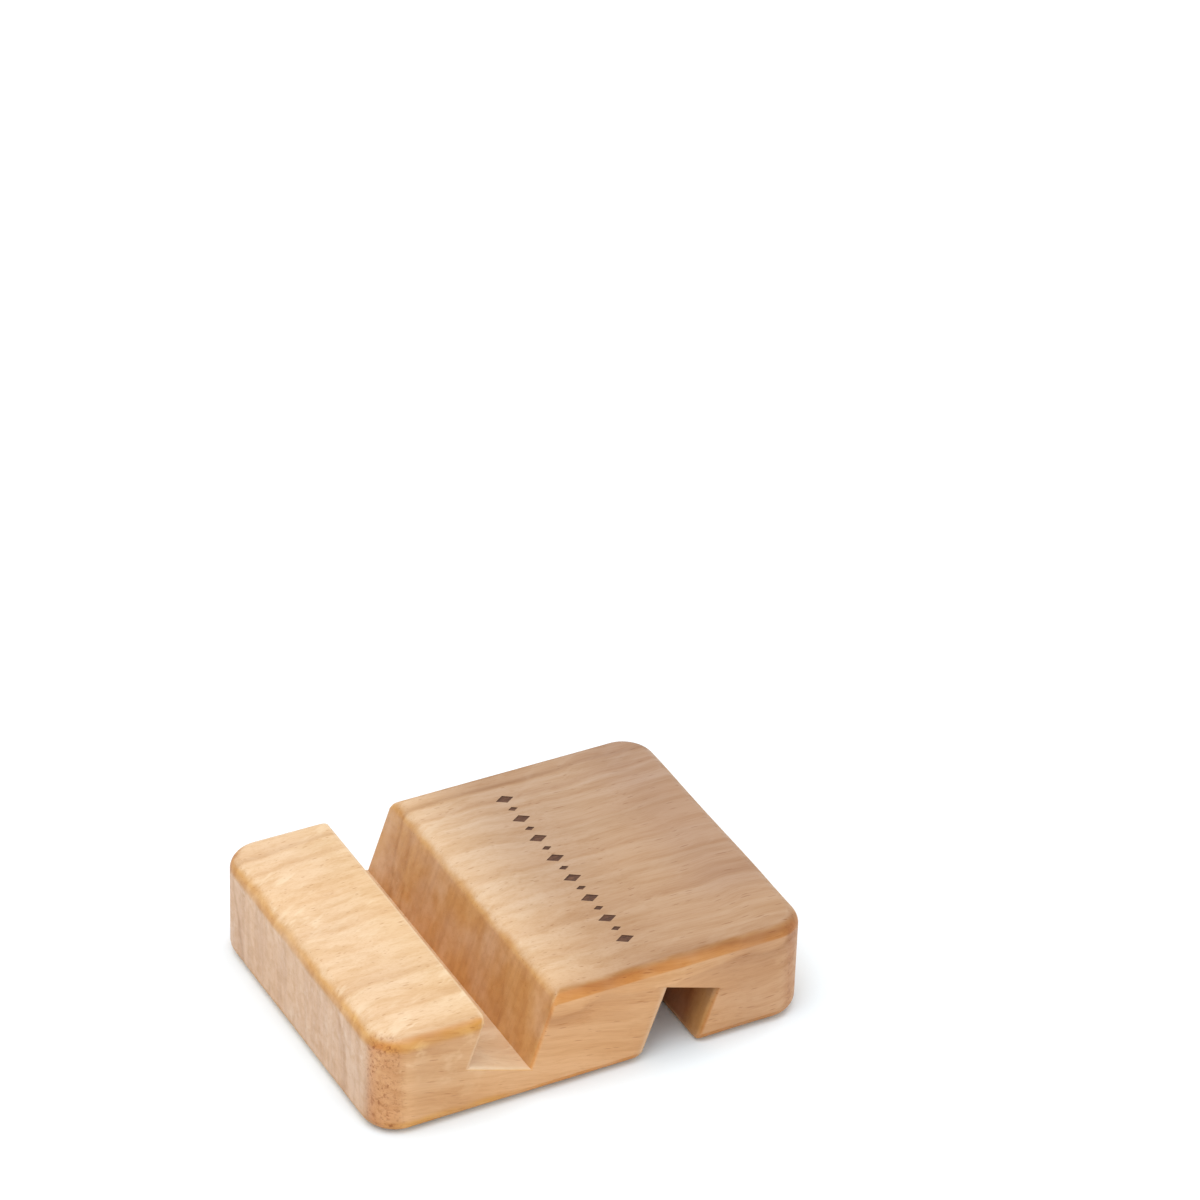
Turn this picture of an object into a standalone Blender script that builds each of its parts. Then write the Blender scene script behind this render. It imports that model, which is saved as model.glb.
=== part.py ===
"""A wooden phone stand: one block, with a slanted slot cut down into its top and a narrower one cut
up into its underside. Turned over, the second slot holds the phone at another angle.

Units are metres and +Z is up. The origin is the middle of the underside. Both slots run the full
width, along X. The front lip is at -Y, and a phone leans back towards +Y.
"""

import math

import bmesh
import bpy
from mathutils import Matrix

COLLECTION = "phone_stand"
NODE = "stand_block"

# The block
WIDTH = 0.060  # along X
LENGTH = 0.0785  # along Y
HEIGHT = 0.019
CORNER_RADIUS = 0.006  # the four upright corners
RIM_RADIUS = 0.0023  # the top and bottom rims
MOUTH_ROUNDING = 0.0016  # how far in from its edge a slot's mouth is rounded, top and underside

# The slots. Each is a rectangle in side view, tilted so that its walls lean back. A mouth is the
# place where the slot's front wall meets the outer face, and a depth is that wall's length.
SLOT_LEAN = math.radians(19.0)
UPPER_MOUTH_Y = -0.0194
UPPER_SLOT_WIDTH = 0.0113
UPPER_SLOT_DEPTH = 0.0101
LOWER_MOUTH_Y = 0.0086
LOWER_SLOT_WIDTH = 0.0093
LOWER_SLOT_DEPTH = 0.0142

# Where a slot breaks through the block's sides, its front wall's edge is sanded off most
UPPER_FRONT_ROUNDING = 0.0014
LOWER_FRONT_ROUNDING = 0.0023
REAR_WALL_ROUNDING = 0.0007
INNER_END_ROUNDING = 0.0004

# Fineness of the rounded edges
CORNER_SEGMENTS = 8
RIM_SEGMENTS = 5
WELD_DISTANCE = 1e-6
FLAT = 0.999  # a normal's part along an axis, above which the face counts as square to it

WOOD_COLOUR = (0.62, 0.38, 0.19, 1.0)
WOOD_ROUGHNESS = 0.5
SHARP_ANGLE = math.radians(30.0)


def clear_scene():
    for obj in list(bpy.data.objects):
        bpy.data.objects.remove(obj)


def new_collection(name):
    collection = bpy.data.collections.new(name)
    bpy.context.scene.collection.children.link(collection)
    return collection


def wood_material():
    material = bpy.data.materials.new("wood")
    material.use_nodes = True
    shader = material.node_tree.nodes["Principled BSDF"]
    shader.inputs["Base Color"].default_value = WOOD_COLOUR
    shader.inputs["Roughness"].default_value = WOOD_ROUGHNESS
    shader.inputs["Metallic"].default_value = 0.0
    return material


def slot_outline(mouth_y, mouth_z, width, depth):
    """The slot's corners in side view, as (y, z): front mouth, front inner, rear inner, rear mouth.

    It goes down from a mouth on the top face and up from one on the underside.
    """
    into = -1.0 if mouth_z > 0.0 else 1.0
    along = (math.sin(SLOT_LEAN), math.cos(SLOT_LEAN))
    across = (math.cos(SLOT_LEAN), -math.sin(SLOT_LEAN))
    front_inner = (mouth_y + into * depth * along[0], mouth_z + into * depth * along[1])
    rear_inner = (front_inner[0] + width * across[0], front_inner[1] + width * across[1])
    rear_mouth = (mouth_y + width / math.cos(SLOT_LEAN), mouth_z)
    return [(mouth_y, mouth_z), front_inner, rear_inner, rear_mouth]


def side_outline():
    """The block's side view with both slots, as (y, z) points, once round."""
    lower = slot_outline(LOWER_MOUTH_Y, 0.0, LOWER_SLOT_WIDTH, LOWER_SLOT_DEPTH)
    upper = slot_outline(UPPER_MOUTH_Y, HEIGHT, UPPER_SLOT_WIDTH, UPPER_SLOT_DEPTH)
    front, rear = -LENGTH / 2, LENGTH / 2
    return [(front, 0.0), *lower, (rear, 0.0), (rear, HEIGHT), *reversed(upper), (front, HEIGHT)]


def extruded_mesh(name, points):
    """A closed mesh of the (y, z) outline, extruded over the width along X."""
    curve = bpy.data.curves.new(name, "CURVE")
    curve.dimensions = "2D"
    curve.fill_mode = "BOTH"
    curve.extrude = WIDTH / 2
    spline = curve.splines.new("POLY")
    spline.points.add(len(points) - 1)
    for point, (y, z) in zip(spline.points, points):
        point.co = (y, z, 0.0, 1.0)
    spline.use_cyclic_u = True
    guide = bpy.data.objects.new(name, curve)
    # The curve's own x, y and z become the block's Y, Z and X.
    guide.matrix_world = Matrix(((0, 0, 1, 0), (1, 0, 0, 0), (0, 1, 0, 0), (0, 0, 0, 1)))
    bpy.context.scene.collection.objects.link(guide)
    evaluated = guide.evaluated_get(bpy.context.evaluated_depsgraph_get())
    mesh = bpy.data.meshes.new_from_object(evaluated)
    mesh.transform(guide.matrix_world)
    bpy.data.objects.remove(guide)
    return mesh


def weld(bm):
    """Joins the caps to the sides, and makes each flat side one face."""
    bmesh.ops.remove_doubles(bm, verts=bm.verts, dist=WELD_DISTANCE)
    bmesh.ops.dissolve_limit(bm, angle_limit=0.01, verts=bm.verts, edges=bm.edges)
    bmesh.ops.recalc_face_normals(bm, faces=bm.faces)


def round_corners(bm):
    """Rounds the block's four upright corners."""

    def on_corner(vert):
        x_out = abs(abs(vert.co.x) - WIDTH / 2) < WELD_DISTANCE
        y_out = abs(abs(vert.co.y) - LENGTH / 2) < WELD_DISTANCE
        return x_out and y_out

    def upright(edge):
        run = edge.verts[0].co - edge.verts[1].co
        return abs(run.z) > HEIGHT / 2 and all(on_corner(vert) for vert in edge.verts)

    bmesh.ops.bevel(
        bm,
        geom=[edge for edge in bm.edges if upright(edge)],
        offset=CORNER_RADIUS,
        segments=CORNER_SEGMENTS,
        profile=0.5,
        affect="EDGES",
    )


def face_kind(face):
    """What a face is: the top or underside, an outer wall, or a wall or floor of a slot."""
    rise = abs(face.normal.z)
    if rise > FLAT:
        return "flat"
    return "wall" if rise < 1.0 - FLAT else "slot"


def slot_side_rounding(edge):
    """How far the edge between a slot's face and the block's side is rounded."""
    normal = next(face.normal for face in edge.link_faces if face_kind(face) == "slot")
    if abs(normal.z) > abs(normal.y):
        return INNER_END_ROUNDING
    if normal.y < 0.0:
        return REAR_WALL_ROUNDING
    return UPPER_FRONT_ROUNDING if edge.verts[0].co.y < 0.0 else LOWER_FRONT_ROUNDING


def edge_weight(edge):
    """How far an edge is rounded, as a share of the rim's radius."""
    kinds = {face_kind(face) for face in edge.link_faces}
    if kinds == {"flat", "wall"}:
        return 1.0
    if kinds == {"flat", "slot"}:
        return MOUTH_ROUNDING / RIM_RADIUS
    if kinds == {"wall", "slot"}:
        return slot_side_rounding(edge) / RIM_RADIUS
    return 0.0


def weigh_edges(bm):
    layer = bm.edges.layers.float.new("bevel_weight_edge")
    for edge in bm.edges:
        edge[layer] = edge_weight(edge)


def make_block(collection):
    mesh = extruded_mesh(NODE, side_outline())
    bm = bmesh.new()
    bm.from_mesh(mesh)
    weld(bm)
    round_corners(bm)
    bm.normal_update()
    weigh_edges(bm)
    bm.to_mesh(mesh)
    bm.free()
    mesh.materials.append(wood_material())
    mesh.shade_smooth()
    mesh.set_sharp_from_angle(angle=SHARP_ANGLE)
    block = bpy.data.objects.new(NODE, mesh)
    collection.objects.link(block)
    sanded = block.modifiers.new("sanded_edges", "BEVEL")
    sanded.limit_method = "WEIGHT"
    sanded.offset_type = "OFFSET"
    sanded.width = RIM_RADIUS
    sanded.segments = RIM_SEGMENTS
    sanded.use_clamp_overlap = False


def main():
    clear_scene()
    make_block(new_collection(COLLECTION))


main()
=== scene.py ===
"""Looks of the phone stand: one block of pale hardwood with two leaning slots, on a white studio floor."""
import math

import bmesh
import bpy
from mathutils import Matrix, Vector, noise


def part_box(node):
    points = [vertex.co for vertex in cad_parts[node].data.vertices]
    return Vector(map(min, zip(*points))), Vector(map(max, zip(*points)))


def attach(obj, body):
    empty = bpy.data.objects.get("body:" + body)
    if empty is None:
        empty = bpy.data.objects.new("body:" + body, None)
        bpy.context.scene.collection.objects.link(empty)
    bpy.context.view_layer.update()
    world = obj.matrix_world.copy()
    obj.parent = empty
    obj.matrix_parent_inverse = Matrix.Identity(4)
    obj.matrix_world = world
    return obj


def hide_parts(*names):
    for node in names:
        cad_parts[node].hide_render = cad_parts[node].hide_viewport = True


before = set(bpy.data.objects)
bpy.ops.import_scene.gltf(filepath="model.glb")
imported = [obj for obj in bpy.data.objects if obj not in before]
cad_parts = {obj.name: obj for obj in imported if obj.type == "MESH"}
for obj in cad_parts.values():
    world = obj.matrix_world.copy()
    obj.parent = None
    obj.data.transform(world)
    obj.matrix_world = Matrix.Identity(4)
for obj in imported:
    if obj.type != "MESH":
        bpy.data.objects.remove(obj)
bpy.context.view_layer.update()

block_low, block_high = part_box("stand_block")

MM = 0.001

# The block, in metres. Width runs along X, length along Y and height along Z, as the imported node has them.
WIDTH = block_high.x - block_low.x
LENGTH = block_high.y - block_low.y
HEIGHT = block_high.z - block_low.z
CORNER_RADIUS = 6.0 * MM
RIM_RADIUS = 2.3 * MM
MOUTH_ROUNDING = 1.6 * MM

SLOT_LEAN = math.radians(19.0)
UPPER_MOUTH_Y = -19.4 * MM
UPPER_SLOT_WIDTH = 11.3 * MM
UPPER_SLOT_DEPTH = 10.1 * MM
LOWER_MOUTH_Y = 8.6 * MM
LOWER_SLOT_WIDTH = 9.3 * MM
LOWER_SLOT_DEPTH = 14.2 * MM

# Where a slot breaks through the block's sides, its front wall's edge is sanded off most
UPPER_FRONT_ROUNDING = 1.4 * MM
LOWER_FRONT_ROUNDING = 2.3 * MM
REAR_WALL_ROUNDING = 0.7 * MM
INNER_END_ROUNDING = 0.4 * MM

# Fineness of the visible mesh
CORNER_SEGMENTS = 20
RIM_SEGMENTS = 10
GRID_STEP = 2.0 * MM
WELD_DISTANCE = 1e-6
FLAT = 0.999  # height of a level face's normal, at least
SHARP_ANGLE = math.radians(30.0)
SAME_PLANE = 0.01  # radians between faces that are merged into one

# Hand sanding: how far the rims are rubbed down at most, and how quickly that changes along them
RIM_RUB = 0.22 * MM
RUB_PERIOD = 11.0 * MM

# Burnt ornament across the rear of the top face
MARK_COUNT = 15
MARK_PITCH = 3.05 * MM
MARK_Y = 9.35 * MM
MARK_LENGTH = 3.3 * MM
MARK_WIDTH = 2.1 * MM
MARK_DEPTH = 0.12 * MM
MARK_REACH = 0.6 * MM
SMALL_MARK = 0.55  # size of every second lozenge, as a share of the others


# ---------------------------------------------------------------- block


def slot_outline(mouth_y, mouth_z, width, depth):
    """The four corners of a leaning slot in the YZ plane, from its front mouth edge round to its rear one."""
    into = -1.0 if mouth_z > 0.0 else 1.0
    along = (math.sin(SLOT_LEAN), math.cos(SLOT_LEAN))
    across = (math.cos(SLOT_LEAN), -math.sin(SLOT_LEAN))
    front_inner = (mouth_y + into * depth * along[0], mouth_z + into * depth * along[1])
    rear_inner = (front_inner[0] + width * across[0], front_inner[1] + width * across[1])
    rear_mouth = (mouth_y + width / math.cos(SLOT_LEAN), mouth_z)
    return [(mouth_y, mouth_z), front_inner, rear_inner, rear_mouth]


def side_outline():
    """The block's side view as one closed run of (y, z) points."""
    lower = slot_outline(LOWER_MOUTH_Y, 0.0, LOWER_SLOT_WIDTH, LOWER_SLOT_DEPTH)
    upper = slot_outline(UPPER_MOUTH_Y, HEIGHT, UPPER_SLOT_WIDTH, UPPER_SLOT_DEPTH)
    front, rear = -LENGTH / 2, LENGTH / 2
    return [(front, 0.0), *lower, (rear, 0.0), (rear, HEIGHT), *reversed(upper), (front, HEIGHT)]


def evaluated_mesh(thing):
    """The object's mesh with its modifiers, in world space."""
    bpy.context.view_layer.update()
    depsgraph = bpy.context.evaluated_depsgraph_get()
    mesh = bpy.data.meshes.new_from_object(thing.evaluated_get(depsgraph), depsgraph=depsgraph)
    mesh.transform(thing.matrix_world)
    return mesh


def add_object(name, data):
    thing = bpy.data.objects.new(name, data)
    bpy.context.scene.collection.objects.link(thing)
    return thing


def sawn_block():
    """The side view cut through the block's whole width, before any edge is rounded."""
    outline = side_outline()
    curve = bpy.data.curves.new("side_view", "CURVE")
    curve.dimensions = "2D"
    curve.fill_mode = "BOTH"
    curve.extrude = WIDTH / 2
    spline = curve.splines.new("POLY")
    spline.points.add(len(outline) - 1)
    spline.use_cyclic_u = True
    for point, (y, z) in zip(spline.points, outline):
        point.co = (y, z, 0.0, 1.0)
    drawing = add_object("side_view", curve)
    drawing.matrix_world = Matrix(((0, 0, 1, 0), (1, 0, 0, 0), (0, 1, 0, 0), (0, 0, 0, 1)))
    mesh = evaluated_mesh(drawing)
    bpy.data.objects.remove(drawing)
    return mesh


def face_kind(face):
    """What a face is: the top or underside, an outer wall, or a wall or floor of a slot."""
    rise = abs(face.normal.z)
    if rise > FLAT:
        return "flat"
    return "wall" if rise < 1.0 - FLAT else "slot"


def round_upright_corners(shape):
    def on_corner(vertex):
        x_out = abs(abs(vertex.co.x) - WIDTH / 2) < WELD_DISTANCE
        y_out = abs(abs(vertex.co.y) - LENGTH / 2) < WELD_DISTANCE
        return x_out and y_out

    def upright(edge):
        run = edge.verts[0].co - edge.verts[1].co
        return abs(run.z) > HEIGHT / 2 and all(on_corner(vertex) for vertex in edge.verts)

    bmesh.ops.bevel(
        shape,
        geom=[edge for edge in shape.edges if upright(edge)],
        offset=CORNER_RADIUS,
        segments=CORNER_SEGMENTS,
        profile=0.5,
        affect="EDGES",
    )
    shape.normal_update()


def slot_side_rounding(edge):
    """How far the edge between a slot's face and the block's side is rounded."""
    normal = next(face.normal for face in edge.link_faces if face_kind(face) == "slot")
    if abs(normal.z) > abs(normal.y):
        return INNER_END_ROUNDING
    if normal.y < 0.0:
        return REAR_WALL_ROUNDING
    return UPPER_FRONT_ROUNDING if edge.verts[0].co.y < 0.0 else LOWER_FRONT_ROUNDING


def weigh_edges(shape):
    """Outer rims get the full rounding, slot edges less of it and the slots' inner corners none."""
    layer = shape.edges.layers.float.new("bevel_weight_edge")
    for edge in shape.edges:
        kinds = {face_kind(face) for face in edge.link_faces}
        if kinds == {"flat", "wall"}:
            edge[layer] = 1.0
        elif kinds == {"flat", "slot"}:
            edge[layer] = MOUTH_ROUNDING / RIM_RADIUS
        elif kinds == {"wall", "slot"}:
            edge[layer] = slot_side_rounding(edge) / RIM_RADIUS


def clear_of_slots(y):
    """True where a cut across the length meets no slot."""
    reach = math.tan(SLOT_LEAN) * max(UPPER_SLOT_DEPTH, LOWER_SLOT_DEPTH) + RIM_RADIUS
    for mouth, width in ((UPPER_MOUTH_Y, UPPER_SLOT_WIDTH), (LOWER_MOUTH_Y, LOWER_SLOT_WIDTH)):
        if mouth - reach < y < mouth + width / math.cos(SLOT_LEAN) + reach:
            return False
    return True


def cut_places(half_size):
    """Evenly spaced places along one side, short of the rounded corners."""
    reach = half_size - CORNER_RADIUS
    count = round(2 * reach / GRID_STEP)
    return [-reach + 2 * reach * i / count for i in range(count + 1)]


def cut_grid(shape):
    """Splits the faces and the long rims into short lengths, so that they can wander."""
    cuts = [((x, 0, 0), (1, 0, 0)) for x in cut_places(WIDTH / 2)]
    cuts += [((0, y, 0), (0, 1, 0)) for y in cut_places(LENGTH / 2) if clear_of_slots(y)]
    for place, normal in cuts:
        geometry = shape.verts[:] + shape.edges[:] + shape.faces[:]
        bmesh.ops.bisect_plane(shape, geom=geometry, dist=WELD_DISTANCE, plane_co=place, plane_no=normal)
    shape.normal_update()


def outer_wall(x, y):
    """How deep a point of the plan lies inside the outer wall, and the wall's outward direction there."""
    beyond = Vector((abs(x) - (WIDTH / 2 - CORNER_RADIUS), abs(y) - (LENGTH / 2 - CORNER_RADIUS)))
    if min(beyond) > 0.0:
        depth = CORNER_RADIUS - beyond.length
        outward = beyond.normalized()
    else:
        depth = CORNER_RADIUS - max(beyond)
        outward = Vector((1.0, 0.0)) if beyond.x > beyond.y else Vector((0.0, 1.0))
    return depth, Vector((math.copysign(outward.x, x), math.copysign(outward.y, y)))


def rub_rims(shape):
    """Rubs the outer rims down unevenly, as sanding by hand does; the flat faces stay where they are."""
    for vertex in shape.verts:
        x, y, z = vertex.co
        depth, outward = outer_wall(x, y)
        sideways = 1.0 - depth / RIM_RADIUS
        upwards = 1.0 - min(z, HEIGHT - z) / RIM_RADIUS
        if sideways <= 0.0 or upwards <= 0.0:
            continue
        share = 0.5 + 0.5 * noise.noise(vertex.co / RUB_PERIOD)
        amount = RIM_RUB * min(1.0, 2.0 * sideways * upwards) * max(0.0, min(1.0, share))
        vertical = math.copysign(upwards, z - HEIGHT / 2)
        direction = Vector((outward.x * sideways, outward.y * sideways, vertical))
        vertex.co -= direction.normalized() * amount


def sanded_block(material):
    """The whole block as one fine mesh, all its edges rounded."""
    mesh = sawn_block()
    shape = bmesh.new()
    shape.from_mesh(mesh)
    bmesh.ops.remove_doubles(shape, verts=shape.verts, dist=WELD_DISTANCE)
    bmesh.ops.dissolve_limit(shape, angle_limit=SAME_PLANE, verts=shape.verts, edges=shape.edges)
    bmesh.ops.recalc_face_normals(shape, faces=shape.faces)
    round_upright_corners(shape)
    weigh_edges(shape)
    shape.to_mesh(mesh)
    rough = add_object("rough_block", mesh)
    rounding = rough.modifiers.new("sanded_edges", "BEVEL")
    rounding.limit_method = "WEIGHT"
    rounding.offset_type = "OFFSET"
    rounding.width = RIM_RADIUS
    rounding.segments = RIM_SEGMENTS
    rounding.use_clamp_overlap = False
    fine = evaluated_mesh(rough)
    bpy.data.objects.remove(rough)
    shape.clear()
    shape.from_mesh(fine)
    cut_grid(shape)
    rub_rims(shape)
    shape.to_mesh(fine)
    shape.free()
    fine.name = "wood_block"
    fine.materials.clear()
    fine.materials.append(material)
    return add_object("wood_block", fine)


# ---------------------------------------------------------------- burnt ornament


def ornament_cutter(material):
    """A row of lozenges, every second one smaller, as one mesh that reaches just under the top face."""
    shape = bmesh.new()
    for i in range(MARK_COUNT):
        size = 1.0 if i % 2 == 0 else SMALL_MARK
        place = Matrix.Translation(
            ((i - (MARK_COUNT - 1) / 2) * MARK_PITCH, MARK_Y, HEIGHT - MARK_DEPTH + MARK_REACH / 2)
        )
        stretch = Matrix.Diagonal((MARK_WIDTH * size, MARK_LENGTH * size, MARK_REACH, 1.0))
        bmesh.ops.create_cone(
            shape, cap_ends=True, segments=4, radius1=0.5, radius2=0.5, depth=1.0, matrix=place @ stretch
        )
    mesh = bpy.data.meshes.new("ornament_cutter")
    shape.to_mesh(mesh)
    shape.free()
    mesh.materials.append(material)
    return add_object("ornament_cutter", mesh)


def burn_ornament(block, material):
    """Sinks the ornament into the top face; the sunk faces take the burnt material."""
    cutter = ornament_cutter(material)
    block.data.materials.append(material)
    cut = block.modifiers.new("burnt_ornament", "BOOLEAN")
    cut.operation = "DIFFERENCE"
    cut.solver = "EXACT"
    cut.material_mode = "TRANSFER"
    cut.object = cutter
    mesh = evaluated_mesh(block)
    block.modifiers.remove(cut)
    block.data = mesh
    bpy.data.objects.remove(cutter)


def shade(block):
    """Smooth faces with sharp creases, the flat faces kept flat beside their rims."""
    block.data.shade_smooth()
    block.data.set_sharp_from_angle(angle=SHARP_ANGLE)
    weighted = block.modifiers.new("flat_faces", "WEIGHTED_NORMAL")
    weighted.mode = "FACE_AREA"
    weighted.weight = 100
    weighted.keep_sharp = True


# ---------------------------------------------------------------- material helper

# How far each further pattern of a material is moved from the one before, in its own repeats
PATTERN_SHIFT = Vector((3.1, 5.27, 1.86))


class Shader:
    """Adds nodes to one material and links them."""

    def __init__(self, name):
        self.material = bpy.data.materials.new(name)
        self.material.use_nodes = True
        self.tree = self.material.node_tree
        self.tree.nodes.clear()
        self.patterns = 0

    def put(self, socket, value):
        if isinstance(value, bpy.types.NodeSocket):
            self.tree.links.new(value, socket)
        else:
            socket.default_value = value

    def add(self, kind, inputs=(), **settings):
        node = self.tree.nodes.new(kind)
        for key, value in settings.items():
            setattr(node, key, value)
        for key, value in dict(inputs).items():
            self.put(node.inputs[key], value)
        return node

    def math(self, operation, *values):
        node = self.add("ShaderNodeMath", operation=operation)
        for socket, value in zip(node.inputs, values):
            self.put(socket, value)
        return node.outputs[0]

    def both(self, *masks):
        """The product of two or more masks."""
        product = masks[0]
        for mask in masks[1:]:
            product = self.math("MULTIPLY", product, mask)
        return product

    def moved(self, value, pattern, amount):
        """The value, moved either way by at most half the amount as the pattern goes from 0 to 1."""
        return self.math("MULTIPLY_ADD", self.math("SUBTRACT", pattern, 0.5), amount, value)

    def vector(self, x, y, z):
        return self.add("ShaderNodeCombineXYZ", {"X": x, "Y": y, "Z": z}).outputs[0]

    def split(self, vector):
        return self.add("ShaderNodeSeparateXYZ", {"Vector": vector}).outputs

    def place(self, vector, rates):
        """The vector times the repeats per mm along each axis, moved on to a fresh part of the pattern."""
        self.patterns += 1
        node = self.add("ShaderNodeVectorMath", operation="MULTIPLY_ADD")
        self.put(node.inputs[0], vector)
        node.inputs[1].default_value = rates
        node.inputs[2].default_value = PATTERN_SHIFT * self.patterns
        return node.outputs[0]

    def noise(self, vector, rates, detail=2.0, roughness=0.5, output="Fac"):
        node = self.add(
            "ShaderNodeTexNoise",
            {"Vector": self.place(vector, rates), "Scale": 1.0, "Detail": detail, "Roughness": roughness},
        )
        return node.outputs[output]

    def dots(self, vector, rates, radius, soft):
        """Scattered dots, 1 inside and 0 beyond the radius, which is a share of one repeat."""
        cells = self.add("ShaderNodeTexVoronoi", {"Vector": self.place(vector, rates), "Scale": 1.0})
        return self.spread(cells.outputs["Distance"], radius, radius * soft)

    def spread(self, value, low, high, to_low=0.0, to_high=1.0, smooth=True):
        """The value's low..high taken to to_low..to_high, and held there outside it."""
        node = self.add(
            "ShaderNodeMapRange",
            {"Value": value, "From Min": low, "From Max": high, "To Min": to_low, "To Max": to_high},
            interpolation_type="SMOOTHSTEP" if smooth else "LINEAR",
        )
        return node.outputs[0]

    def ramp(self, value, stops):
        """A colour ramp with a stop of (place, colour) for each pair; a colour may be one number, a grey."""
        node = self.add("ShaderNodeValToRGB", {"Fac": value})
        elements = node.color_ramp.elements
        for i, (place, colour) in enumerate(stops):
            stop = elements[i] if i < 2 else elements.new(place)
            stop.position = place
            stop.color = (colour, colour, colour, 1.0) if isinstance(colour, float) else (*colour, 1.0)
        return node.outputs["Color"]

    def mix(self, factor, a, b, blend="MIX"):
        """Colour a, taken towards b (or blended with it) by the factor."""
        node = self.add("ShaderNodeMix", data_type="RGBA", blend_type=blend)
        for socket, value in zip((node.inputs[0], node.inputs[6], node.inputs[7]), (factor, a, b)):
            self.put(socket, (*value, 1.0) if isinstance(value, tuple) else value)
        return node.outputs[2]

    def tint(self, colour, factor, tone):
        """The colour multiplied by a tone where the factor is 1."""
        return self.mix(factor, colour, tone, blend="MULTIPLY")

    def bump(self, height, strength, distance, under=None):
        inputs = {"Height": height, "Strength": strength, "Distance": distance}
        if under is not None:
            inputs["Normal"] = under
        return self.add("ShaderNodeBump", inputs).outputs[0]

    def output(self, shader):
        self.add("ShaderNodeOutputMaterial", {"Surface": shader})
        return self.material


# ---------------------------------------------------------------- wood

# Growth lines where they cross the front lip's top face: mm from the middle of the width, and darkness
GROWTH_LINES = (
    (-39.0, 0.90), (-31.0, 0.80), (-23.1, 1.00), (-19.0, 0.92), (-16.2, 0.72), (-8.0, 0.64),
    (1.0, 0.68), (7.5, 0.62), (16.7, 0.90), (24.0, 0.70), (32.0, 1.00), (40.0, 0.80),
)
LINE_STEP = 0.9  # mm over which a dark line turns light again
RING_SPAN = (-45.0, 45.0)
RING_LEAN = 0.268  # sideways shift of a growth line for each mm of height
GRAIN_DIP = 0.23  # fall of the fibres towards the rear, up to where they level out
GRAIN_DRIFT = -0.025
LEVEL_Y = 14.0
LEVEL_SOFTNESS = 16.0
LIP_HEIGHT_IN_GRAIN = 12.0

# How far the fibres wander, in mm
WANDER = (5.0, 3.5)
WAVE = 1.5
RIPPLE = 2.2

# Pattern repeats per mm along X, Y and Z, or across the fibres, along them and up
WANDER_RATE = (0.022, 0.028, 0.03)
WAVE_RATE = (0.05, 0.10, 0.07)
RIPPLE_RATE = (0.16, 0.035, 0.16)
STRENGTH_RATE = (0.09, 0.02, 0.09)
FIGURE_RATE = (0.42, 0.035, 0.42)
STREAK_RATE = (1.1, 0.045, 1.1)
FINE_RATE = (6.0, 0.22, 6.0)
FLECK_RATE = (0.55, 0.16, 0.40)
FLECK_PLACE_RATE = (0.06, 0.05, 0.06)
LONG_PORE_RATE = (0.95, 0.085, 0.95)
SHORT_PORE_RATE = (1.5, 0.14, 1.5)
WARMTH_RATE = (0.035, 0.02, 0.05)
END_BAND_RATE = (0.55, 0.0, 0.045)
RIM_WOBBLE_RATE = (0.22, 0.22, 0.22)
RIM_OIL_RATE = (0.12, 0.12, 0.12)
SPECK_RATE = (1.5, 1.4, 1.15)
SPECK_PLACE_RATE = (0.5, 0.5, 0.5)
MOTTLE_RATE = (1.7, 1.2, 1.7)

FLECK_SLANT = 0.4  # sideways run of a fleck for each mm along the block
CORNER_START = 32.0  # mm along the length from the middle to where the corners' speckles begin

# Bare wood, from the pale start of a growth band to the dark line at its end
CREAM = (0.795, 0.595, 0.405)
PEACH = (0.765, 0.548, 0.350)
TAN = (0.69, 0.465, 0.280)
LINE_BROWN = (0.545, 0.335, 0.180)
FLECK = (0.835, 0.665, 0.475)
# Colour of the painted highlight on the slots' front wall edges
PAINTED_EDGE_HIGHLIGHT = (0.90, 0.72, 0.51)

# Tones that the bare wood is multiplied by
FIGURE_TONE = (0.915, 0.865, 0.79)
STREAK_TONE = (0.93, 0.885, 0.82)
FINE_TONE = (0.92, 0.87, 0.81)
PORE_TONE = (0.62, 0.45, 0.32)
WARM_TONE = (1.0, 0.95, 0.87)
# Painted shadow: darkens the rear of the top face
REAR_TOP_PAINTED_SHADOW = (0.62, 0.565, 0.56)
REAR_END_TONE = (0.885, 0.87, 0.92)
LIP_MOUTH_TONE = (0.98, 0.965, 0.905)
# Painted shadow: darkens and cools the rear of the sides
REAR_SIDE_PAINTED_SHADOW = (0.84, 0.855, 0.95)
LIP_SIDE_TONE = (0.925, 0.905, 0.885)
SIDE_TONE = (1.0, 0.815, 0.637)
END_TONE = (0.91, 0.87, 0.94)
END_BAND_TONE = (0.91, 0.875, 0.86)
CORNER_TONE = (0.885, 0.79, 0.705)
END_RIM_TONE = (0.87, 0.68, 0.37)
LIP_RIM_TONE = (1.0, 0.90, 0.44)
REAR_RIM_TONE = (0.86, 0.64, 0.29)
SPECK_TONE = (0.60, 0.42, 0.30)
# Painted shade inside the lower slot
SLOT_SHADE_TONE = (0.72, 0.54, 0.50)

# Where masks fade in, in mm in the block's own axes: from nothing at the first number to full at the second
TOP_FACE_Z = (6.0, 15.0)
# Where the painted shadow on the rear of the top face fades in
REAR_TOP_SHADOW_Y = (-14.0, 10.0)
REAR_END_Y = (20.0, 33.0)
REAR_END_X = (24.0, 12.0)
LIP_MOUTH_Y = ((-31.0, -21.0), (-14.0, -18.0))
# Where the painted shadow on the rear of the sides fades in
REAR_SIDE_SHADOW_Y = (10.0, 30.0)
LIP_SIDE_Y = ((-18.0, -26.0), (-34.0, -31.0))
RIM_REAR_Y = (-22.0, -4.0)
RIM_OFF_MIDDLE = (6.7, 8.0)
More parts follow.
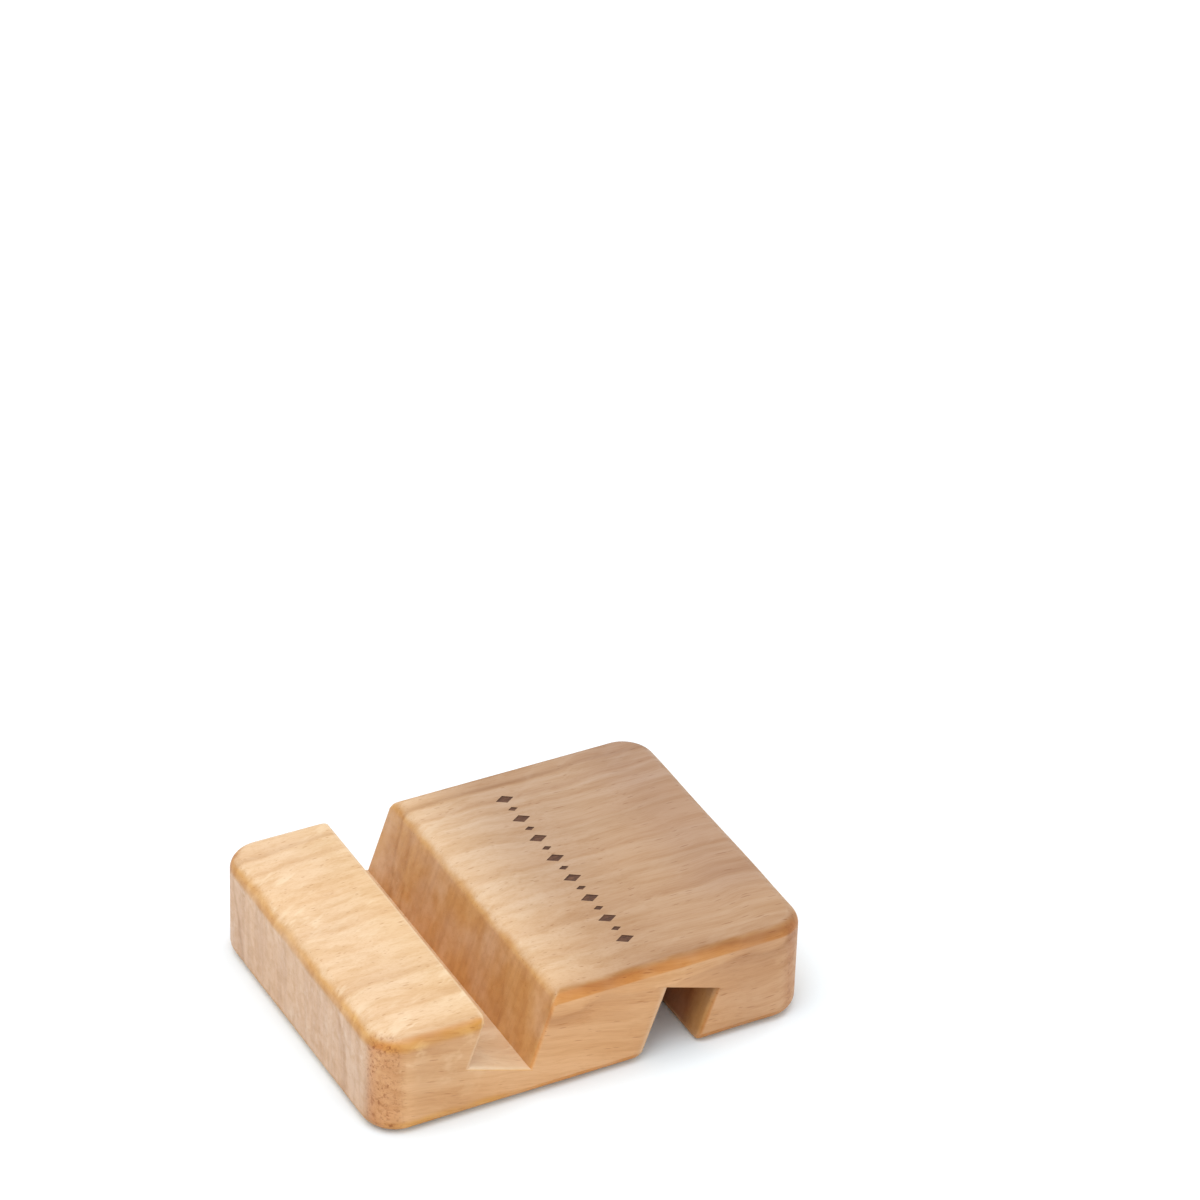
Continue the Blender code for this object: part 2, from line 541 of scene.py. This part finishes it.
# Where the painted shade inside the lower slot fades in
SLOT_SHADE_Y = ((6.0, 8.0), (27.0, 25.0))
SLOT_SHADE_Z = ((0.0, 1.0), (17.0, 15.0))
SLOT_SHADE_X = (29.0, 23.0)
FLECK_REAR_Y = (-14.0, 2.0)  # flecks thin out over this

# How strongly a few features show, as shares of the whole
FLECK_STRENGTH = 0.65
REAR_FLECKS = 0.3
# Share of the painted highlight on the slots' front wall edges
EDGE_HIGHLIGHT_STRENGTH = 0.32
MOTTLE_STRENGTH = 0.6
REAR_SPECKS = 0.4
PORES_ON_SIDES = 0.55
PORES_ON_ENDS = 0.25
LONG_GRAIN_ON_ENDS = 0.35

# Relief of the grain: strength and height
GRAIN_BUMP = (0.35, 0.12 * MM)
FINE_BUMP = (0.25, 0.08 * MM)


def fibre_space(s):
    """Place in mm, and the same following the fibres: across the rings, along the fibres and up."""
    place = s.add("ShaderNodeTexCoord").outputs["Object"]
    in_mm = s.add("ShaderNodeVectorMath", {"Vector": place, "Scale": 1.0 / MM}, operation="SCALE").outputs[0]
    x, y, z = s.split(in_mm)
    wander = s.split(s.noise(in_mm, WANDER_RATE, detail=1.5, output="Color"))
    wave = s.split(s.noise(in_mm, WAVE_RATE, detail=1.0, output="Color"))
    across = s.moved(s.moved(x, wander[0], WANDER[0]), wave[0], WAVE)
    across = s.math("MULTIPLY_ADD", y, GRAIN_DRIFT, across)
    levelled = s.math("SMOOTH_MIN", y, LEVEL_Y, LEVEL_SOFTNESS)
    up = s.math("MULTIPLY_ADD", levelled, GRAIN_DIP, z)
    up = s.moved(s.moved(up, wander[1], WANDER[1]), wave[1], WAVE)
    return in_mm, s.vector(across, y, up)


def growth_phase(s, fibre):
    """0 just after a growth line, rising to that line's darkness at the next one."""
    across, _, up = s.split(fibre)
    ring = s.math("MULTIPLY_ADD", s.math("SUBTRACT", up, LIP_HEIGHT_IN_GRAIN), RING_LEAN, across)
    ring = s.moved(ring, s.noise(fibre, RIPPLE_RATE, detail=3.0, roughness=0.55), RIPPLE)
    low, high = RING_SPAN
    stops = []
    for line, darkness in GROWTH_LINES:
        stops.append(((line - LINE_STEP - low) / (high - low), darkness))
        stops.append(((line - low) / (high - low), 0.0))
    return s.ramp(s.spread(ring, low, high, smooth=False), stops)


def growth_bands(s, fibre, end_face):
    """Pale and dark growth bands, stronger in some places than in others and faint on the ends."""
    band = s.ramp(growth_phase(s, fibre), [(0.0, CREAM), (0.45, PEACH), (0.86, TAN), (1.0, LINE_BROWN)])
    strength = s.spread(s.noise(fibre, STRENGTH_RATE), 0.3, 0.65, 0.4, 1.0)
    return s.mix(s.both(strength, s.spread(end_face, 0.0, 1.0, 1.0, 0.9)), PEACH, band)


def ray_flecks(s, in_mm, colour):
    """Pale flecks, aslant to the fibres, in some places only and fewer behind the lip."""
    x, y, z = s.split(in_mm)
    slanted = s.vector(s.math("MULTIPLY_ADD", y, FLECK_SLANT, x), y, z)
    fleck = s.spread(s.noise(slanted, FLECK_RATE, detail=3.0, roughness=0.6), 0.50, 0.68, 0.0, FLECK_STRENGTH)
    here = s.spread(s.noise(in_mm, FLECK_PLACE_RATE), 0.42, 0.60)
    here = s.both(here, s.spread(y, *FLECK_REAR_Y, 1.0, REAR_FLECKS))
    return s.mix(s.both(fleck, here), colour, FLECK)


def vessels(s, fibre):
    """Short dashes along the fibres, which are dots on the end grain."""
    long_pores = s.dots(fibre, LONG_PORE_RATE, 0.13, 0.45)
    short_pores = s.dots(fibre, SHORT_PORE_RATE, 0.15, 0.45)
    return s.math("MAXIMUM", long_pores, short_pores)


def face_tones(s, in_mm, colour, to_side, to_top, end_face):
    """Tones of the faces: warm zones, a rear top and rear sides darkened by painted shadow, orange sides and
    pinker, banded ends.
    """
    x, y, z = s.split(in_mm)
    warm = s.spread(s.noise(in_mm, WARMTH_RATE), 0.35, 0.65)
    colour = s.tint(colour, warm, WARM_TONE)
    top_face = s.both(s.spread(to_top, 0.25, 0.95), s.spread(z, *TOP_FACE_Z))
    # Painted shadow over the rear of the top face
    colour = s.tint(colour, s.both(top_face, s.spread(y, *REAR_TOP_SHADOW_Y)), REAR_TOP_PAINTED_SHADOW)
    rear_end = s.both(top_face, s.spread(y, *REAR_END_Y), s.spread(x, *REAR_END_X))
    colour = s.tint(colour, rear_end, REAR_END_TONE)
    lip_mouth = s.both(*(s.spread(y, *fade) for fade in LIP_MOUTH_Y))
    colour = s.tint(colour, s.both(top_face, lip_mouth), LIP_MOUTH_TONE)
    side_face = s.spread(s.math("MULTIPLY_ADD", to_top, -0.3, to_side), 0.20, 0.52)
    colour = s.tint(colour, side_face, SIDE_TONE)
    # Painted shadow over the rear of the sides
    colour = s.tint(colour, s.both(side_face, s.spread(y, *REAR_SIDE_SHADOW_Y)), REAR_SIDE_PAINTED_SHADOW)
    lip_side = s.both(side_face, *(s.spread(y, *fade) for fade in LIP_SIDE_Y))
    colour = s.tint(colour, lip_side, LIP_SIDE_TONE)
    upright_band = s.spread(s.noise(in_mm, END_BAND_RATE, detail=3.0, roughness=0.6), 0.42, 0.64)
    colour = s.tint(colour, s.both(end_face, upright_band), END_BAND_TONE)
    return s.tint(colour, end_face, END_TONE)


def oiled_rims(s, in_mm, colour, to_side, to_end, to_top):
    """Outer rims that took up more oil and look golden: low on the lip's sides, higher on the rear's."""
    _, y, z = s.split(in_mm)
    rear = s.spread(y, *RIM_REAR_Y)
    on_side = s.spread(s.math("SUBTRACT", to_side, to_end), -0.1, 0.2)
    wobble = s.noise(in_mm, RIM_WOBBLE_RATE)
    shift = s.spread(rear, 0.0, 1.0, 0.12, -0.20)
    rise = s.math("MULTIPLY_ADD", on_side, shift, s.moved(to_top, wobble, 0.5))
    off_middle = s.moved(s.math("ABSOLUTE", s.math("SUBTRACT", z, HEIGHT / MM / 2)), wobble, 0.8)
    off_middle = s.math("MULTIPLY_ADD", on_side, s.spread(rear, 0.0, 1.0, 0.3, -0.6), off_middle)
    wall_end = s.math("MAXIMUM", s.spread(to_top, 0.12, 0.30), s.spread(off_middle, *RIM_OFF_MIDDLE))
    off_flat = s.spread(rise, 0.96, 0.62)
    outward = s.spread(s.math("MAXIMUM", to_side, to_end), 0.15, 0.5)
    rim = s.both(wall_end, off_flat, outward)
    oil = s.spread(s.noise(in_mm, RIM_OIL_RATE), 0.3, 0.65, 0.5, 1.0)
    tone = s.mix(on_side, END_RIM_TONE, s.mix(rear, LIP_RIM_TONE, REAR_RIM_TONE))
    return s.tint(colour, s.both(rim, oil), tone)


def slot_edge_highlights(s, in_mm, colour, to_side, to_rear, to_top):
    """The rounded edges of the slots' front walls, painted paler than the faces beside them as a painted
    highlight.
    """
    off_centre = s.math("ABSOLUTE", s.split(in_mm)[1])
    on_side = s.both(s.spread(to_side, 0.10, 0.40), s.spread(to_side, 0.995, 0.90))
    on_flat = s.both(s.spread(to_top, 0.34, 0.55), s.spread(to_top, 0.995, 0.90))
    edge = s.both(s.math("MAXIMUM", on_side, on_flat), s.spread(to_rear, 0.05, 0.25))
    here = s.spread(off_centre, CORNER_START, CORNER_START - 1.0, 0.0, EDGE_HIGHLIGHT_STRENGTH)
    return s.mix(s.both(edge, here), colour, PAINTED_EDGE_HIGHLIGHT)


def lower_slot_painted_shade(s, in_mm, colour, to_side, to_top):
    """Painted shade: the lower slot's walls turn darker and redder away from its open ends."""
    x, y, z = s.split(in_mm)
    across = s.both(*(s.spread(y, *fade) for fade in SLOT_SHADE_Y))
    below = s.both(*(s.spread(z, *fade) for fade in SLOT_SHADE_Z))
    wall = s.both(s.spread(to_top, 0.15, 0.30), s.spread(to_side, 0.5, 0.1))
    deep = s.spread(s.math("ABSOLUTE", x), *SLOT_SHADE_X)
    return s.tint(colour, s.both(across, below, wall, deep), SLOT_SHADE_TONE)


def speckled_corners(s, in_mm, colour, to_side, to_end):
    """Darker upright corners with brown speckles, where the fibres run out of the surface at a slant."""
    off_centre = s.math("ABSOLUTE", s.split(in_mm)[1])
    slant = s.both(s.spread(to_side, 0.08, 0.42), s.spread(to_end, 0.10, 0.45))
    slant = s.both(slant, s.spread(off_centre, CORNER_START, CORNER_START + 1.0))
    colour = s.tint(colour, slant, CORNER_TONE)
    speck = s.spread(s.noise(in_mm, SPECK_RATE), 0.54, 0.66)
    mottle = s.noise(in_mm, MOTTLE_RATE, detail=3.0, roughness=0.6)
    mottle = s.spread(mottle, 0.50, 0.68, 0.0, MOTTLE_STRENGTH)
    here = s.spread(s.noise(in_mm, SPECK_PLACE_RATE), 0.36, 0.56, 0.3, 0.9)
    here = s.both(here, s.spread(s.split(in_mm)[1], -10.0, 10.0, 1.0, REAR_SPECKS))
    return s.tint(colour, s.both(s.math("MAXIMUM", speck, mottle), here, slant), SPECK_TONE)


def wood():
    s = Shader("oiled_hardwood")
    in_mm, fibre = fibre_space(s)
    normal = s.split(s.add("ShaderNodeNewGeometry").outputs["Normal"])
    to_side, to_end, to_top = (s.math("ABSOLUTE", part) for part in normal)
    end_face = s.spread(to_end, 0.75, 0.98)
    long_grain = s.spread(end_face, 0.0, 1.0, 1.0, LONG_GRAIN_ON_ENDS)

    colour = growth_bands(s, fibre, end_face)
    figure = s.noise(fibre, FIGURE_RATE, detail=3.0, roughness=0.55)
    colour = s.tint(colour, s.spread(figure, 0.42, 0.66), FIGURE_TONE)
    streak = s.noise(fibre, STREAK_RATE, detail=4.0, roughness=0.6)
    colour = s.tint(colour, s.both(s.spread(streak, 0.42, 0.72), long_grain), STREAK_TONE)
    fine = s.noise(fibre, FINE_RATE)
    colour = s.tint(colour, s.both(s.spread(fine, 0.45, 0.75), long_grain), FINE_TONE)
    colour = ray_flecks(s, in_mm, colour)
    pore = vessels(s, fibre)
    pore_strength = s.spread(end_face, 0.0, 1.0, PORES_ON_SIDES, PORES_ON_ENDS)
    colour = s.tint(colour, s.both(pore, pore_strength), PORE_TONE)
    colour = face_tones(s, in_mm, colour, to_side, to_top, end_face)
    colour = oiled_rims(s, in_mm, colour, to_side, to_end, to_top)
    # Painted highlight on the rounded edges of the slots' front walls
    colour = slot_edge_highlights(s, in_mm, colour, to_side, normal[1], to_top)
    colour = speckled_corners(s, in_mm, colour, to_side, to_end)
    # Painted shade on the lower slot's walls, away from its open ends
    colour = lower_slot_painted_shade(s, in_mm, colour, to_side, to_top)

    grain_height = s.math("MULTIPLY_ADD", pore, -1.0, s.math("MULTIPLY", streak, 0.5))
    relief = s.bump(grain_height, *GRAIN_BUMP)
    relief = s.bump(fine, *FINE_BUMP, relief)
    roughness = s.math("MULTIPLY_ADD", pore, 0.25, s.spread(streak, 0.3, 0.7, 0.44, 0.58))
    surface = s.add(
        "ShaderNodeBsdfPrincipled",
        {"Base Color": colour, "Roughness": roughness, "IOR": 1.45, "Normal": relief},
    )
    return s.output(surface.outputs[0])


CHAR_DARK = (0.055, 0.022, 0.012)
CHAR_BROWN = (0.115, 0.048, 0.024)
CHAR_PALE = (0.20, 0.095, 0.048)
CHAR_STREAK_RATE = (3.0, 0.4, 3.0)
CHAR_GRIT_RATE = (5.0, 5.0, 5.0)


def burnt_wood():
    s = Shader("burnt_wood")
    in_mm, fibre = fibre_space(s)
    streak = s.noise(fibre, CHAR_STREAK_RATE, detail=4.0, roughness=0.65)
    colour = s.ramp(streak, [(0.3, CHAR_DARK), (0.55, CHAR_BROWN), (0.75, CHAR_PALE)])
    grit = s.noise(in_mm, CHAR_GRIT_RATE, detail=3.0)
    surface = s.add(
        "ShaderNodeBsdfPrincipled",
        {
            "Base Color": colour,
            "Roughness": s.spread(grit, 0.3, 0.7, 0.7, 0.95),
            "Normal": s.bump(grit, 0.6, 0.1 * MM),
        },
    )
    return s.output(surface.outputs[0])


# ---------------------------------------------------------------- studio

FLOOR_SIZE = 8.0
FLOOR_COLOUR = (0.91, 0.965, 1.0, 1.0)
WORLD_STRENGTH = 0.74


def floor():
    bpy.ops.mesh.primitive_plane_add(size=FLOOR_SIZE, location=(0.0, 0.0, -0.02 * MM))
    plane = bpy.context.object
    plane.name = "studio_floor"
    s = Shader("white_floor")
    surface = s.add("ShaderNodeBsdfDiffuse", {"Color": FLOOR_COLOUR, "Roughness": 0.6})
    plane.data.materials.append(s.output(surface.outputs[0]))


def soft_light(name, azimuth, elevation, distance, size, power, aim=(0.0, 0.0, 0.01)):
    """A square soft box seen from the block at an azimuth and an elevation in degrees, facing it."""
    light = bpy.data.lights.new(name, "AREA")
    light.shape = "SQUARE"
    light.size = size
    light.energy = power
    turn, rise = math.radians(azimuth), math.radians(elevation)
    towards = Vector((math.sin(turn) * math.cos(rise), -math.cos(turn) * math.cos(rise), math.sin(rise)))
    lamp = add_object(name, light)
    lamp.location = Vector(aim) + towards * distance
    lamp.rotation_euler = (-towards).to_track_quat("-Z", "Y").to_euler()


def studio():
    world = bpy.data.worlds.new("studio_white")
    world.use_nodes = True
    world.node_tree.nodes["Background"].inputs["Color"].default_value = (1.0, 1.0, 1.0, 1.0)
    world.node_tree.nodes["Background"].inputs["Strength"].default_value = WORLD_STRENGTH
    bpy.context.scene.world = world
    soft_light("overhead_box", azimuth=20.0, elevation=72.0, distance=0.9, size=0.7, power=4.3)
    soft_light("rear_box", azimuth=200.0, elevation=42.0, distance=1.0, size=0.5, power=1.8)
    settings = bpy.context.scene.view_settings
    settings.view_transform = "Standard"
    settings.look = "None"


# ---------------------------------------------------------------- camera

CAMERA_AZIMUTH = math.radians(61.05)
CAMERA_ELEVATION = math.radians(33.55)
CAMERA_ROLL = math.radians(1.98)
CAMERA_DISTANCE = 0.9341
AIM_RIGHT = 14.76 * MM
AIM_UP = 61.98 * MM
LENS = 169.5


def camera():
    back = Vector(
        (
            math.sin(CAMERA_AZIMUTH) * math.cos(CAMERA_ELEVATION),
            -math.cos(CAMERA_AZIMUTH) * math.cos(CAMERA_ELEVATION),
            math.sin(CAMERA_ELEVATION),
        )
    )
    level = Vector((math.cos(CAMERA_AZIMUTH), math.sin(CAMERA_AZIMUTH), 0.0))
    over = back.cross(level)
    right = level * math.cos(CAMERA_ROLL) + over * math.sin(CAMERA_ROLL)
    up = back.cross(right)
    data = bpy.data.cameras.new("camera")
    data.lens = LENS
    data.sensor_width = 36.0
    data.clip_start = 0.01
    data.clip_end = 50.0
    view = add_object("camera", data)
    place = right * AIM_RIGHT + up * AIM_UP + back * CAMERA_DISTANCE
    view.matrix_world = Matrix(
        (
            (right.x, up.x, back.x, place.x),
            (right.y, up.y, back.y, place.y),
            (right.z, up.z, back.z, place.z),
            (0.0, 0.0, 0.0, 1.0),
        )
    )
    bpy.context.scene.camera = view


block = sanded_block(wood())
burn_ornament(block, burnt_wood())
shade(block)
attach(block, "root")
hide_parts("stand_block")

floor()
studio()
camera()

bpy.context.view_layer.update()
